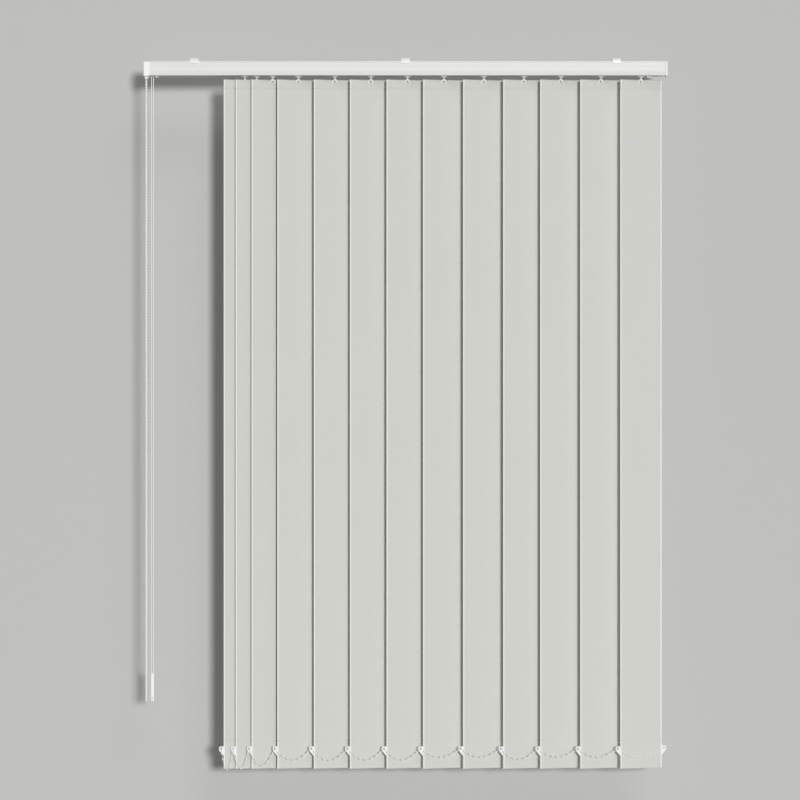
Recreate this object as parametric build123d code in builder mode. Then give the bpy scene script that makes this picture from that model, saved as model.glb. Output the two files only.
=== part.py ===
"""Vertical blind, hung from three ceiling clips and drawn to its right-hand end.

Millimetres. X runs along the headrail, Z is up, and the room is towards -Y.
The origin is the middle of the bracket screws, on the ceiling plane.
"""
from build123d import *
from math import asinh, ceil, cos, hypot, radians, sin, sqrt
import os

# Overall heights, measured down from the ceiling plane
rail_top = -7.0
rail_height = 28.0
louvre_top = -43.0
louvre_length = 1376.6

# Headrail extrusion
rail_left = -511.4
rail_right = 520.0
rail_half_depth = 20.0
rail_wall = 1.3
lip_reach = 19.4
lip_height = 2.4
waist_reach = 18.0
waist_height = 7.2
face_hollow = 1.5
slot_half = 6.0
mouth_lip = 1.6

# Ceiling clips
bracket_pitch = 421.5
bracket_count = 3
bracket_width = 17.0
bracket_sheet = 1.5
bracket_crown_half = 12.5
bracket_toe = 1.3
clip_gap = 0.05
screw_hole_radius = 2.2

# Tilt rod and chain wheel
rod_radius = 3.0
rod_core_radius = 2.35
rod_spline_count = 6
rod_spline_width = 1.3
rod_drop = 21.4
rod_end_gap = 1.2
wheel_x = -518.2
wheel_width = 5.0
wheel_radius = 11.4
wheel_pitch_radius = 10.5
wheel_pockets = 11
chain_radius = 2.0
running_gap = 0.1
fit_gap = 0.05

# End caps
cap_wall = 1.6
cap_overhang = 0.6
cap_foot = 2.0
control_cap_left = -523.0
control_plug_length = 10.4
return_cap_right = 523.0
return_plug_length = 13.0
return_foot_length = 10.0
boss_length = 7.0
boss_height = 4.0
boss_half_depth = 14.0
chain_hole_gap = 0.4
wheel_room = 0.8

# End stops in the rail's mouth
left_stop_right = -494.0
left_stop_length = 6.0
right_stop_left = 482.0
right_stop_length = 12.0
stop_drop = 3.0
stop_gap = 0.1
plug_gap = 0.3
stop_head = 0.9

# Louvre trucks: pitches run from the end truck on the right to the lead truck
end_truck_x = 471.0
truck_pitches = [80.0, 80.0, 74.0, 80.0, 80.0, 73.0, 73.0, 72.0, 73.0, 51.6, 31.8, 23.6]
full_pitch = 80.0
truck_half_length = 10.0
truck_half_depth = 11.4
truck_top = -11.6
truck_chamfer = 1.0
truck_wheel_radius = 4.0
truck_wheel_offset = 5.6
truck_wheel_width = 3.4
foot_half_length = 5.8
foot_drop = 2.2
floor_gap = 2.0
spacer_lanes = 5
spacer_lane_pitch = 4.1
spacer_width = 3.0
spacer_sheet = 0.5
spacer_drop = 2.4
spacer_seat_length = 5.0
pad_length = 16.0
pad_gap = 0.25
catch_sheet = 0.8
catch_drop = 1.1

# Louvre cloth with its welded pockets
louvre_width = 89.0
cloth = 0.5
tilt_at_rest = 19.3
top_pocket = 18.0
bottom_pocket = 56.6
top_pocket_half = 1.0
bottom_pocket_half = 1.15
pocket_flare = 5.0
notch_gap = 1.0
notch_depth = 7.0

# Swivel hook, hanger plate and bottom weight
stem_radius = 2.6
stem_head_radius = 4.4
stem_head_height = 2.2
stem_top = -27.6
stem_bottom = -38.6
hook_width = 2.6
hook_sheet = 1.6
hook_bar = 2.0
eye_radius = 6.4
eye_hole_radius = 4.2
eye_drop = 4.6
hanger_sheet = 0.8
hanger_height = 5.0
hanger_side_gap = 2.5
weight_sheet = 1.2
weight_side_gap = 1.5
weight_bottom_gap = 1.4
ear_rise = 45.0
ear_height = 19.4
ear_reach = 9.8
ear_square = 8.0
ear_round = 2.6
ear_hole_reach = 5.4
ear_hole_drop = 4.4
ear_hole_radius = 2.2

# Front spacer chain between the ears
chain_length = 88.0
chain_string = 0.45
bead_radius = 1.55
bead_height = 3.2
bead_pitch = 11.4
bead_count = 7
link_radius = 0.45
link_height = 2.4
knot_radius = 0.75
knot_along = 0.6
knot_forward = 1.85
end_along = -1.3
end_forward = 1.75
span_forward = 4.3
wrap_forward = 3.2

# Draw cord, cord weight and operating chain
cord_radius = 0.9
cord_hole_gap = 0.3
cord_x = [-507.8, -504.2]
cord_half_depth = 4.0
cord_turn = -1272.0
cord_start = -33.0
weight_x = -506.0
weight_top = -1229.0
weight_length = 56.0
weight_width = 8.4
weight_depth = 15.4
weight_well = [6.0, 11.6]
weight_well_depth = 45.2
weight_pin_radius = 2.3
weight_eye_drop = 49.5
weight_eye_radius = 1.5
loop_bottom = -1287.0
loop_start = -38.0

# Sizes that follow from the ones above
rail_bottom = rail_top - rail_height
ledge = rail_bottom + rail_wall
waist_bottom = rail_top - waist_height
inner_reach = waist_reach - rail_wall
louvre_bottom = louvre_top - louvre_length
ear_top = louvre_bottom + ear_rise
half_width = louvre_width / 2
truck_x = [end_truck_x]
for pitch in truck_pitches:
    truck_x.insert(0, truck_x[0] - pitch)
louvre_count = len(truck_x)
across = Vector(cos(radians(tilt_at_rest)), sin(radians(tilt_at_rest)), 0)
facing = Vector(across.Y, -across.X, 0)
truck_bottom = ledge + floor_gap
foot_bottom = rail_bottom - foot_drop
rod_bore = rod_radius + running_gap
eye_z = louvre_top - eye_drop
notch_half = eye_radius + notch_gap
ear_hole_z = ear_top - ear_hole_drop
ear_hole_at = half_width + ear_hole_reach

os.makedirs("parts", exist_ok=True)


def keep(shape, label):
    """Label a finished piece and write it under its own name."""
    shape.label = label
    export_step(shape, f"parts/{label}.step")


def keep_at(shapes, x, label):
    """Keep copies of pieces made at X zero, moved along the rail to their truck."""
    along_rail = Location((x, 0, 0))
    keep(Compound(children=[shape.moved(along_rail) for shape in shapes]), label)


# A louvre's own planes: across its width and up, and through its thickness and up
louvre_face = Plane(origin=(0, 0, 0), x_dir=across, z_dir=facing)
louvre_section = Plane(origin=(0, 0, 0), x_dir=facing, z_dir=-across)


# Headrail: one extruded channel, open below between two ledges
front_profile = [
    (0, rail_top),
    (-lip_reach, rail_top),
    (-lip_reach, rail_top - lip_height),
    (-waist_reach, rail_top - lip_height),
    (-waist_reach, waist_bottom),
]
front_return = [
    (-rail_half_depth, rail_bottom),
    (-slot_half, rail_bottom),
    (-slot_half, ledge + mouth_lip - rail_wall),
    (-slot_half - rail_wall, ledge + mouth_lip - rail_wall),
    (-slot_half - rail_wall, ledge),
    (-rail_half_depth + rail_wall, ledge),
]
front_inner = [
    (-inner_reach, waist_bottom),
    (-inner_reach, rail_top - rail_wall),
    (0, rail_top - rail_wall),
]
face_middle = (
    -(waist_reach + rail_half_depth) / 2 + face_hollow,
    (waist_bottom + rail_bottom) / 2,
)
inner_middle = (face_middle[0] + rail_wall, face_middle[1])
with BuildPart() as headrail:
    with BuildSketch(Plane.YZ.offset(rail_left)):
        with BuildLine():
            Polyline(*front_profile)
            ThreePointArc(front_profile[-1], face_middle, front_return[0])
            Polyline(*front_return)
            ThreePointArc(front_return[-1], inner_middle, front_inner[0])
            Polyline(*front_inner)
            Line(front_inner[-1], front_profile[0])
        make_face()
        mirror(about=Plane.YZ)
    extrude(amount=rail_right - rail_left)
keep(headrail.part, "headrail")

# Ceiling clips: a sprung strip with a crown for the screw and toes under the rail's lips
strip_low = rail_top + clip_gap
strip_high = strip_low + bracket_sheet
hook_inner = lip_reach + clip_gap
hook_outer = hook_inner + bracket_sheet
toe_top = rail_top - lip_height - clip_gap
toe_bottom = toe_top - bracket_toe
crown_slope = 3.0
bracket_half = [
    (0, 0),
    (-bracket_crown_half, 0),
    (-bracket_crown_half - crown_slope, strip_high),
    (-hook_outer, strip_high),
    (-hook_outer, toe_bottom),
    (-waist_reach - clip_gap, toe_bottom),
    (-waist_reach - clip_gap, toe_top),
    (-hook_inner, toe_top),
    (-hook_inner, strip_low),
    (-bracket_crown_half - crown_slope + bracket_sheet, strip_low),
    (-bracket_crown_half + bracket_sheet / 2, -bracket_sheet),
    (0, -bracket_sheet),
]
bracket_places = [
    (k - (bracket_count - 1) / 2) * bracket_pitch for k in range(bracket_count)
]
with BuildPart() as brackets:
    for x in bracket_places:
        with BuildSketch(Plane.YZ.offset(x)):
            with BuildLine():
                Polyline(*bracket_half, close=True)
            make_face()
            mirror(about=Plane.YZ)
        extrude(amount=bracket_width / 2, both=True)
    with Locations(*[(x, 0, 0) for x in bracket_places]):
        Hole(screw_hole_radius, depth=bracket_sheet * 2)
keep(brackets.part, "mounting_brackets")

# Tilt rod: splined shaft with the chain wheel on its control end
rod_left = control_cap_left + cap_wall + running_gap
rod_right = rail_right - rod_end_gap
wheel_back = wheel_x - wheel_width / 2
spline_reach = (rod_core_radius + rod_radius) / 2
with BuildPart() as tilt_rod:
    with BuildSketch(Plane.YZ.offset(rod_left)):
        with Locations((0, -rod_drop)):
            Circle(rod_core_radius)
            with PolarLocations(spline_reach / 2, rod_spline_count):
                Rectangle(spline_reach, rod_spline_width)
    extrude(amount=rod_right - rod_left)
    with BuildSketch(Plane.YZ.offset(wheel_back)):
        with Locations((0, -rod_drop)):
            Circle(wheel_radius)
    extrude(amount=wheel_width)
    with BuildSketch(Plane.YZ.offset(wheel_x - chain_radius)):
        with Locations((0, -rod_drop)):
            with PolarLocations(wheel_pitch_radius, wheel_pockets):
                Circle(chain_radius + running_gap)
    extrude(amount=2 * chain_radius, mode=Mode.SUBTRACT)
keep(tilt_rod.part, "tilt_rod")

# Control end cap: wheel housing, chain boss, and a plug that guides the draw cord
cap_half_depth = rail_half_depth + cap_overhang
cap_top = rail_top + clip_gap
cap_bottom = rail_bottom - cap_foot
housing_radius = wheel_pitch_radius + chain_radius + wheel_room
plug_half_depth = min(inner_reach, -inner_middle[0]) - plug_gap
plug_top = rail_top - rail_wall - stop_gap
plug_bottom = ledge + mouth_lip - rail_wall + stop_gap
plug_right = rail_left + control_plug_length
boss_bottom = cap_bottom - boss_height
with BuildPart() as control_cap:
    with BuildSketch(Plane.YZ.offset(control_cap_left)):
        with Locations((0, (cap_top + cap_bottom) / 2)):
            RectangleRounded(2 * cap_half_depth, cap_top - cap_bottom, 2.4)
    extrude(amount=rail_left - control_cap_left)
    outer_face = control_cap.faces().sort_by(Axis.X)[0]
    chamfer(outer_face.edges(), length=0.8)
    with BuildSketch(Plane.YZ.offset(rail_left)):
        with Locations((0, (plug_top + plug_bottom) / 2)):
            Rectangle(2 * plug_half_depth, plug_top - plug_bottom)
        with Locations((0, (plug_bottom + rail_bottom) / 2)):
            Rectangle(2 * (slot_half - stop_gap), plug_bottom - rail_bottom)
    extrude(amount=control_plug_length)
    with BuildSketch(Plane.XY.offset(boss_bottom)):
        with Locations((wheel_x + boss_length / 2 - 2 * chain_radius / 3 - 1.5, 0)):
            RectangleRounded(boss_length, 2 * boss_half_depth, 2.0)
    extrude(amount=boss_height + cap_wall)
    with BuildSketch(Plane.YZ.offset(control_cap_left + cap_wall)):
        with Locations((0, -rod_drop)):
            Circle(housing_radius)
    extrude(amount=wheel_x + wheel_width / 2 + running_gap * 5 - control_cap_left - cap_wall,
            mode=Mode.SUBTRACT)
    with BuildSketch(Plane.YZ.offset(wheel_x)):
        with Locations((0, -rod_drop)):
            Circle(rod_bore)
    extrude(amount=plug_right - wheel_x, mode=Mode.SUBTRACT)
    with BuildSketch(Plane.XY.offset(boss_bottom)):
        with Locations((wheel_x, -wheel_pitch_radius), (wheel_x, wheel_pitch_radius)):
            Circle(chain_radius + chain_hole_gap)
    extrude(amount=-rod_drop - boss_bottom, mode=Mode.SUBTRACT)
    with BuildSketch(Plane.XY.offset(rail_bottom)):
        with Locations((cord_x[0], -cord_half_depth), (cord_x[1], cord_half_depth)):
            Circle(cord_radius + cord_hole_gap)
    extrude(amount=cord_start - rail_bottom + 1.0, mode=Mode.SUBTRACT)

# Each end stop is a T-shaped block that sits in the mouth and hangs a little below the rail


def end_stop(left, length):
    """Block in the rail's mouth, with a head above the ledges to hold it."""
    head_bottom = ledge + mouth_lip - rail_wall + clip_gap
    with BuildPart() as stop:
        with BuildSketch(Plane.YZ.offset(left)):
            with Locations((0, (rail_bottom - stop_drop + head_bottom) / 2)):
                Rectangle(2 * (slot_half - stop_gap), head_bottom - rail_bottom + stop_drop)
            with Locations((0, head_bottom + stop_head / 2)):
                Rectangle(2 * (slot_half + 2 * rail_wall), stop_head)
        extrude(amount=length)
        low_edges = stop.edges().group_by(Axis.Z)[0].filter_by(Axis.X)
        fillet(low_edges, 1.2)
    return stop.part


left_stop = end_stop(left_stop_right - left_stop_length, left_stop_length)
keep(Compound(children=[control_cap.part, left_stop]), "control_end_cap")

# Return end cap: end plate with a blind bearing for the rod and a foot under the rail
with BuildPart() as return_cap:
    with BuildSketch(Plane.YZ.offset(rail_right)):
        with Locations((0, (cap_top + cap_bottom) / 2)):
            RectangleRounded(2 * cap_half_depth, cap_top - cap_bottom, 2.4)
    extrude(amount=return_cap_right - rail_right)
    chamfer(return_cap.faces().sort_by(Axis.X)[-1].edges(), length=0.8)
    with BuildSketch(Plane.YZ.offset(rail_right - return_plug_length)):
        with Locations((0, (plug_top + plug_bottom) / 2)):
            Rectangle(2 * plug_half_depth, plug_top - plug_bottom)
        with Locations((0, (plug_bottom + rail_bottom) / 2)):
            Rectangle(2 * (slot_half - stop_gap), plug_bottom - rail_bottom)
    extrude(amount=return_plug_length)
    with BuildSketch(Plane.YZ.offset(return_cap_right - return_foot_length)):
        with Locations((0, (rail_bottom - clip_gap + cap_bottom) / 2)):
            Rectangle(2 * slot_half + 8, rail_bottom - clip_gap - cap_bottom)
    extrude(amount=return_foot_length - (return_cap_right - rail_right))
    with BuildSketch(Plane.YZ.offset(rail_right - return_plug_length)):
        with Locations((0, -rod_drop)):
            Circle(rod_bore)
    extrude(amount=return_plug_length, mode=Mode.SUBTRACT)
right_stop = end_stop(right_stop_left, right_stop_length)
keep(Compound(children=[return_cap.part, right_stop]), "return_end_cap")


# Draw cord loop, cord weight and operating chain loop
def loop_route(top, turn, first, second):
    """Down one strand, round a turn and up the other; the arcs fill the turn."""
    route = [
        (*first, top),
        (*first, turn),
        (*second, turn),
        (*second, top),
    ]
    apart = hypot(second[0] - first[0], second[1] - first[1])
    return route, 0.45 * apart


def hang_loop(route, bend, radius, label):
    """Round tube along a route, with the same bend at both of its corners."""
    with BuildPart() as loop:
        with BuildLine():
            path = FilletPolyline(*route, radius=bend)
        with BuildSketch(Plane(origin=path @ 0, z_dir=path % 0)):
            Circle(radius)
        sweep(path=path)
    wanted = path.length * 3.14159265 * radius**2
    print(label, "bend", round(bend, 2), "length", round(path.length, 1),
          "volume share", round(loop.part.volume / wanted, 4))
    keep(loop.part, label)


cord_route, cord_bend = loop_route(
    cord_start, cord_turn, (cord_x[0], -cord_half_depth), (cord_x[1], cord_half_depth)
)
hang_loop(cord_route, cord_bend, cord_radius, "draw_cord")
chain_route, chain_bend = loop_route(
    loop_start, loop_bottom + chain_radius,
    (wheel_x, -wheel_pitch_radius), (wheel_x, wheel_pitch_radius)
)
hang_loop(chain_route, chain_bend, chain_radius, "operating_chain")

pin_z = cord_turn + cord_bend
with BuildPart() as cord_weight:
    with BuildSketch(Plane.XY.offset(weight_top)):
        with Locations((weight_x, 0)):
            RectangleRounded(weight_width, weight_depth, 3.0)
    extrude(amount=-weight_length)
    ends = cord_weight.faces().filter_by(Axis.Z)
    chamfer(ends.edges(), length=0.8)
    with BuildSketch(Plane.XY.offset(weight_top)):
        with Locations((weight_x, 0)):
            RectangleRounded(weight_well[0], weight_well[1], 1.6)
    extrude(amount=-weight_well_depth, mode=Mode.SUBTRACT)
    with BuildSketch(Plane.YZ.offset(weight_x)):
        with Locations((0, pin_z)):
            Circle(weight_pin_radius)
    extrude(amount=weight_well[0] / 2 + 0.4, both=True)
    with BuildSketch(Plane.XZ):
        with Locations((weight_x, weight_top - weight_eye_drop)):
            Circle(weight_eye_radius)
    extrude(amount=weight_depth, both=True, mode=Mode.SUBTRACT)
keep(cord_weight.part, "cord_weight")


# Louvre trucks: each carries a spacer strip that reaches over its left neighbour
def lane(index):
    """Depth of the lane that the strip of truck number index runs in."""
    return (index % spacer_lanes - (spacer_lanes - 1) / 2) * spacer_lane_pitch


strip_z = rail_top - spacer_drop
wheel_z = ledge + fit_gap + truck_wheel_radius


def build_truck(index):
    """Housing with its wheels and foot, and its spacer strip, at the truck's place."""
    x = truck_x[index]
    with BuildPart() as housing:
        with BuildSketch(Plane.YZ.offset(x)):
            with Locations((0, (truck_top + truck_bottom) / 2)):
                Rectangle(2 * truck_half_depth, truck_top - truck_bottom)
            chamfer(vertices().group_by(Axis.Y)[-1], truck_chamfer)
        extrude(amount=truck_half_length, both=True)
        with BuildSketch(Plane.XY.offset(foot_bottom)):
            with Locations((x, 0)):
                Rectangle(2 * foot_half_length, 2 * (slot_half - stop_gap))
        extrude(amount=truck_bottom - foot_bottom)
        for side in (-1, 1):
            with BuildSketch(Plane.XZ.offset(side * truck_half_depth)):
                with Locations((x - truck_wheel_offset, wheel_z), (x + truck_wheel_offset, wheel_z)):
                    Circle(truck_wheel_radius)
            extrude(amount=side * truck_wheel_width)
        if index > 0:
            with BuildSketch(Plane.XY.offset(truck_top)):
                with Locations((x, lane(index))):
                    Rectangle(spacer_width, spacer_width)
            extrude(amount=strip_z - spacer_sheet - truck_top)
        if index < louvre_count - 1:
            with BuildSketch(Plane.XY.offset(truck_top)):
                with Locations((x, lane(index + 1))):
                    Rectangle(pad_length, spacer_width)
            extrude(amount=strip_z - spacer_sheet - pad_gap - truck_top)
        with BuildSketch(Plane.YZ.offset(x)):
            with Locations((0, -rod_drop)):
                Circle(rod_bore)
        extrude(amount=truck_half_length, both=True, mode=Mode.SUBTRACT)
        with BuildSketch(Plane.XY.offset(foot_bottom)):
            with Locations((x, 0)):
                Circle(stem_radius + fit_gap)
        extrude(amount=stem_top - foot_bottom, mode=Mode.SUBTRACT)
        with BuildSketch(Plane.XY.offset(stem_top - stem_head_height - fit_gap)):
            with Locations((x, 0)):
                Circle(stem_head_radius + fit_gap)
        extrude(amount=stem_head_height + 2 * fit_gap, mode=Mode.SUBTRACT)
    pieces = [housing.part]
    if index > 0:
        catch_x = -full_pitch - pad_length / 2 - fit_gap - catch_sheet
        with BuildPart() as strip:
            with BuildSketch(Plane.XZ.offset(-lane(index))):
                with BuildLine():
                    Polyline(
                        (x + spacer_seat_length / 2, strip_z),
                        (x + catch_x, strip_z),
                        (x + catch_x, strip_z - spacer_sheet - catch_drop),
                        (x + catch_x + catch_sheet, strip_z - spacer_sheet - catch_drop),
                        (x + catch_x + catch_sheet, strip_z - spacer_sheet),
                        (x + spacer_seat_length / 2, strip_z - spacer_sheet),
                        close=True,
                    )
                make_face()
            extrude(amount=spacer_width / 2, both=True)
        pieces.append(strip.part)
    return Compound(children=pieces)


# Louvre cloth: one strip with a welded pocket at each end and a notch for the hook
def build_louvre():
    """Cloth strip with open-sided pockets, turned to its angle at rest."""
    weld_top = louvre_top - top_pocket
    weld_bottom = louvre_bottom + bottom_pocket
    top_inner = top_pocket_half - cloth
    bottom_inner = bottom_pocket_half - cloth
    with BuildPart() as strip:
        with BuildSketch(louvre_section):
            with BuildLine():
                Polyline(
                    (cloth / 2, weld_bottom),
                    (cloth / 2, weld_top),
                    (top_pocket_half, weld_top + pocket_flare),
                    (top_pocket_half, louvre_top - cloth),
                    (top_pocket_half - cloth, louvre_top),
                    (-top_pocket_half + cloth, louvre_top),
                    (-top_pocket_half, louvre_top - cloth),
                    (-top_pocket_half, weld_top + pocket_flare),
                    (-cloth / 2, weld_top),
                    (-cloth / 2, weld_bottom),
                    (-bottom_pocket_half, weld_bottom - pocket_flare),
                    (-bottom_pocket_half, louvre_bottom + cloth),
                    (-bottom_pocket_half + cloth, louvre_bottom),
                    (bottom_pocket_half - cloth, louvre_bottom),
                    (bottom_pocket_half, louvre_bottom + cloth),
                    (bottom_pocket_half, weld_bottom - pocket_flare),
                    close=True,
                )
            make_face()
            with BuildLine():
                Polyline(
                    (0, weld_top + cloth),
                    (top_inner, weld_top + pocket_flare + cloth),
                    (top_inner, louvre_top - cloth),
                    (-top_inner, louvre_top - cloth),
                    (-top_inner, weld_top + pocket_flare + cloth),
                    close=True,
                )
            make_face(mode=Mode.SUBTRACT)
            with BuildLine():
                Polyline(
                    (0, weld_bottom - cloth),
                    (bottom_inner, weld_bottom - pocket_flare - cloth),
                    (bottom_inner, louvre_bottom + cloth),
                    (-bottom_inner, louvre_bottom + cloth),
                    (-bottom_inner, weld_bottom - pocket_flare - cloth),
                    close=True,
                )
            make_face(mode=Mode.SUBTRACT)
        extrude(amount=half_width, both=True)
        with BuildSketch(louvre_face):
            with Locations((0, louvre_top - notch_depth / 2)):
                Rectangle(2 * notch_half, notch_depth)
        extrude(amount=2 * top_pocket_half, both=True, mode=Mode.SUBTRACT)
    return strip.part


# Fittings of one louvre: swivel hook, hanger plate with its eye, and bottom weight with ears
def build_fittings():
    """The three rigid pieces that turn with one louvre."""
    arm_back = -hanger_sheet / 2 - 0.3
    arm_front = hanger_sheet / 2 + 0.3
    bar_top = eye_z + eye_hole_radius - 0.5
    bar_bottom = bar_top - hook_bar
    with BuildPart() as hook:
        with BuildSketch(Plane.XY.offset(stem_bottom)):
            Circle(stem_radius)
        extrude(amount=stem_top - stem_bottom)
        with BuildSketch(Plane.XY.offset(stem_top - stem_head_height)):
            RegularPolygon(stem_head_radius, 8)
        extrude(amount=stem_head_height)
        with BuildSketch(louvre_section):
            with BuildLine():
                Polyline(
                    (stem_radius - 0.6, stem_bottom + 0.5),
                    (stem_radius - 0.6, stem_bottom - 0.6),
                    (arm_back, stem_bottom - 2.4),
                    (arm_back, bar_top),
                    (arm_front, bar_top),
                    (arm_front, bar_top + hook_bar),
                    (arm_front + hook_sheet, bar_top + hook_bar),
                    (arm_front + hook_sheet, bar_bottom + 0.6),
                    (arm_front + hook_sheet - 0.6, bar_bottom),
                    (arm_back - hook_sheet + 0.6, bar_bottom),
                    (arm_back - hook_sheet, bar_bottom + 0.6),
                    (arm_back - hook_sheet, stem_bottom + 0.5),
                    close=True,
                )
            make_face()
        extrude(amount=hook_width / 2, both=True)
    hanger_top = louvre_top - top_pocket + pocket_flare + 1.2 + hanger_height
    with BuildPart() as hanger:
        with BuildSketch(louvre_face):
            with Locations((0, hanger_top - hanger_height / 2)):
                Rectangle(louvre_width - 2 * hanger_side_gap, hanger_height)
            with Locations((0, eye_z)):
                Circle(eye_radius)
                Circle(eye_hole_radius, mode=Mode.SUBTRACT)
        extrude(amount=hanger_sheet / 2, both=True)
    plate_bottom = louvre_bottom + weight_bottom_gap
    plate_half = half_width - weight_side_gap
    with BuildPart() as weight:
        with BuildSketch(louvre_face):
            with Locations((0, (ear_top + plate_bottom) / 2)):
                Rectangle(2 * plate_half, ear_top - plate_bottom)
            with BuildLine():
                Polyline(
                    (-plate_half + 4, ear_top),
                    (-half_width - ear_reach, ear_top),
                    (-half_width - ear_reach, ear_top - ear_square),
                    (-half_width, ear_top - ear_height),
                    (-plate_half + 4, ear_top - ear_height),
                    close=True,
                )
            make_face()
            corners = vertices().sort_by(Axis.X)[:2].sort_by(Axis.Y)
            fillet(corners[-1], ear_round)
            with Locations((-ear_hole_at, ear_hole_z)):
                Circle(ear_hole_radius, mode=Mode.SUBTRACT)
            mirror(about=Plane.YZ)
            with Locations((ear_hole_at, ear_hole_z)):
                Circle(ear_hole_radius, mode=Mode.SUBTRACT)
        extrude(amount=weight_sheet / 2, both=True)
    return [hook.part, hanger.part, weight.part]


# Spacer chain: equal lengths of string with barrel beads, sagging between two ears
def arc_length(half_span, sag):
    """Length of a parabola of this half span and sag."""
    slope = 2 * sag / half_span
    return half_span * (sqrt(1 + slope**2) + asinh(slope) / slope)


def sag_of(span, length):
    """Sag of a parabola of this span and length, found by halving."""
    low, high = 0.01, length
    for _ in range(50):
        middle = (low + high) / 2
        if arc_length(span / 2, middle) < length:
            low = middle
        else:
            high = middle
    return low


def sagging_points(span, sag, marks):
    """(distance along the span, drop) at each mark of length along the parabola."""
    steps = 400
    places = []
    travelled = 0.0
    last = (0.0, 0.0)
    for k in range(1, steps + 1):
        t = k / steps
        point = (span * t, 4 * sag * t * (1 - t))
        step = hypot(point[0] - last[0], point[1] - last[1])
        while len(places) < len(marks) and travelled + step >= marks[len(places)]:
            part = (marks[len(places)] - travelled) / step
            places.append((last[0] + part * (point[0] - last[0]),
                           last[1] + part * (point[1] - last[1])))
        travelled += step
        last = point
    return places


def build_chain(points, beads, pins):
    """String through all the points, barrel beads and knots on it, and a pin in each ear hole."""
    with BuildPart() as chain:
        for start, end in zip(points, points[1:]):
            run = end - start
            with BuildSketch(Plane(origin=start, z_dir=run)):
                RegularPolygon(chain_string, 4)
            extrude(amount=run.length)
        for k in range(1, len(points) - 1):
            is_bead = k in beads
            run = points[k + 1] - points[k - 1]
            for side in (-1, 1):
                with BuildSketch(Plane(origin=points[k], z_dir=run * side)):
                    RegularPolygon(bead_radius if is_bead else knot_radius, 6)
                extrude(amount=bead_height / 2 if is_bead else knot_radius, taper=22)
        for pin in pins:
            with BuildSketch(Plane.XY.offset(ear_hole_z - link_height / 2)):
                with Locations((pin.X, pin.Y)):
                    Circle(link_radius)
            extrude(amount=link_height)
    return chain.part


front_ear = across * -ear_hole_at + Vector(0, 0, ear_hole_z)
rear_ear = across * ear_hole_at + Vector(0, 0, ear_hole_z)
first_mark = (chain_length - (bead_count - 1) * bead_pitch) / 2
bead_marks = [first_mark + k * bead_pitch for k in range(bead_count)]


def span_chain(span):
    """Chain from the front ear of a louvre at X zero to the front ear of the next."""
    sag = sag_of(span, chain_length)
    points = [front_ear, front_ear + across * knot_along + facing * knot_forward]
    for along, drop in sagging_points(span, sag, bead_marks):
        points.append(front_ear + Vector(along, -span_forward, -drop))
    points.append(front_ear + Vector(span, 0, 0) + across * end_along + facing * end_forward)
    return build_chain(points, range(2, bead_count + 2), [front_ear])


def wrap_chain():
    """Chain across the front of a louvre at X zero, from its front ear to its rear ear."""
    span = 2 * ear_hole_at
    length = span + (chain_length - full_pitch)
    count = ceil((length - 2 * first_mark) / bead_pitch)
    margin = (length - (count - 1) * bead_pitch) / 2
    marks = [margin + k * bead_pitch for k in range(count)]
    points = [front_ear, front_ear + across * knot_along + facing * knot_forward]
    for along, drop in sagging_points(span, sag_of(span, length), marks):
        points.append(front_ear + across * along + facing * wrap_forward - Vector(0, 0, drop))
    points += [rear_ear - across * knot_along + facing * knot_forward, rear_ear]
    return build_chain(points, range(2, count + 2), [front_ear, rear_ear])


louvre = build_louvre()
fittings = build_fittings()
chains = {span: span_chain(span) for span in sorted(set(truck_pitches))}
for index, x in enumerate(truck_x):
    number = f"{index + 1:02d}"
    keep(build_truck(index), f"truck_{number}")
    keep_at([louvre], x, f"louvre_{number}")
    keep_at(fittings, x, f"louvre_fittings_{number}")
for index, span in enumerate(reversed(truck_pitches)):
    keep_at([chains[span]], truck_x[index], f"front_chain_{index + 1:02d}")
keep_at([wrap_chain()], truck_x[-1], f"front_chain_{louvre_count:02d}")
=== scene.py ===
"""Dresses the vertical blind: cloth louvres, moulded fittings, bead chains, cords and a studio.

Metres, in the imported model's own frame: X along the headrail, Z up, the room towards -Y.
"""
import logging
import math
import random
from collections.abc import Callable
from dataclasses import dataclass
from enum import Enum

import bmesh
import bpy
from mathutils import Matrix, Vector


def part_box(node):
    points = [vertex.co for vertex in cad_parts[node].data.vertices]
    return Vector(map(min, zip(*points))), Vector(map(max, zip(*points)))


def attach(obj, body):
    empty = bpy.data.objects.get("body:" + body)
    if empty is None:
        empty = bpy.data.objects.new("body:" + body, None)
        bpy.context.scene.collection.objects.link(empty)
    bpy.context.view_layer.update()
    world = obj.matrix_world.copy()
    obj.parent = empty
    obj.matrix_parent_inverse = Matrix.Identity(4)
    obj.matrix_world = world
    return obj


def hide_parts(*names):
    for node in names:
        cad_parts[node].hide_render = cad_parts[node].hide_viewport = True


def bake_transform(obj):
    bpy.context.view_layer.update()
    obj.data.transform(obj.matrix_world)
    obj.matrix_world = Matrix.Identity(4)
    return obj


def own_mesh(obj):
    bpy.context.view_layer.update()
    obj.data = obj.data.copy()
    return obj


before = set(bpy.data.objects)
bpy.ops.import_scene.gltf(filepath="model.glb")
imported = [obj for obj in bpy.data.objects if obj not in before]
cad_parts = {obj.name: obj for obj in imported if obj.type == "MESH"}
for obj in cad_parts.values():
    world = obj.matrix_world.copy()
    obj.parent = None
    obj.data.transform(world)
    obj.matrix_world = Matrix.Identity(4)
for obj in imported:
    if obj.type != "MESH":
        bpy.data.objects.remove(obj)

LOG = logging.getLogger("vertical_blind")


class Slot(Enum):
    """The record's material slots that this scene paints."""

    RAIL = "rail_white"
    MOULDING = "white_moulding"
    BRACKET = "bracket_steel"
    ROD = "rod_alloy"
    CORD = "cord"
    BEADS = "bead_chain"
    TRUCK = "truck_moulding"
    CLOTH = "louvre_cloth"
    FITTING = "fitting_moulding"
    SPACER = "spacer_chain"


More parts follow.
